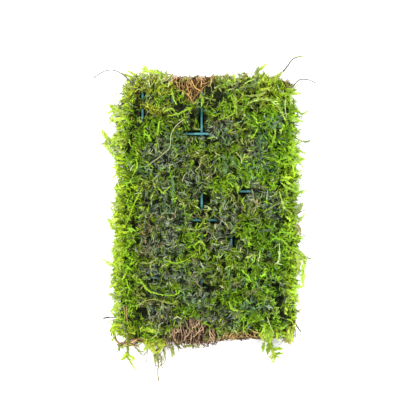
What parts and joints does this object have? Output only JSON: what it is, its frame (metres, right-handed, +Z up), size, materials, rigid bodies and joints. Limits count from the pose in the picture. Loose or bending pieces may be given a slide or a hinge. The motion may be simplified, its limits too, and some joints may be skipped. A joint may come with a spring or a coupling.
{
  "type": "moss mat",
  "caption": "Rectangular mat of feathery green moss grown over coated wire mesh on a thin brown fibre pad, lying flat.",
  "frame": {"origin": "middle of the fibre pad's flat underside", "axes": "+Z up out of the moss, +Y along the mat's length towards the end that is at the top of the picture, +X to the picture's right"},
  "size_m": [0.0968, 0.1418, 0.0175],
  "materials": {
    "plant_fibre": "matted brown plant fibre, dry and dull",
    "wire_coating": "glossy dark teal coating",
    "moss": "soft living moss, bright lime at the fringe and muted green inside"
  },
  "bodies": {
    "root": {"fibre_pad": "plant_fibre", "wire_mesh": "wire_coating", "moss": "moss"}
  },
  "joints": []
}
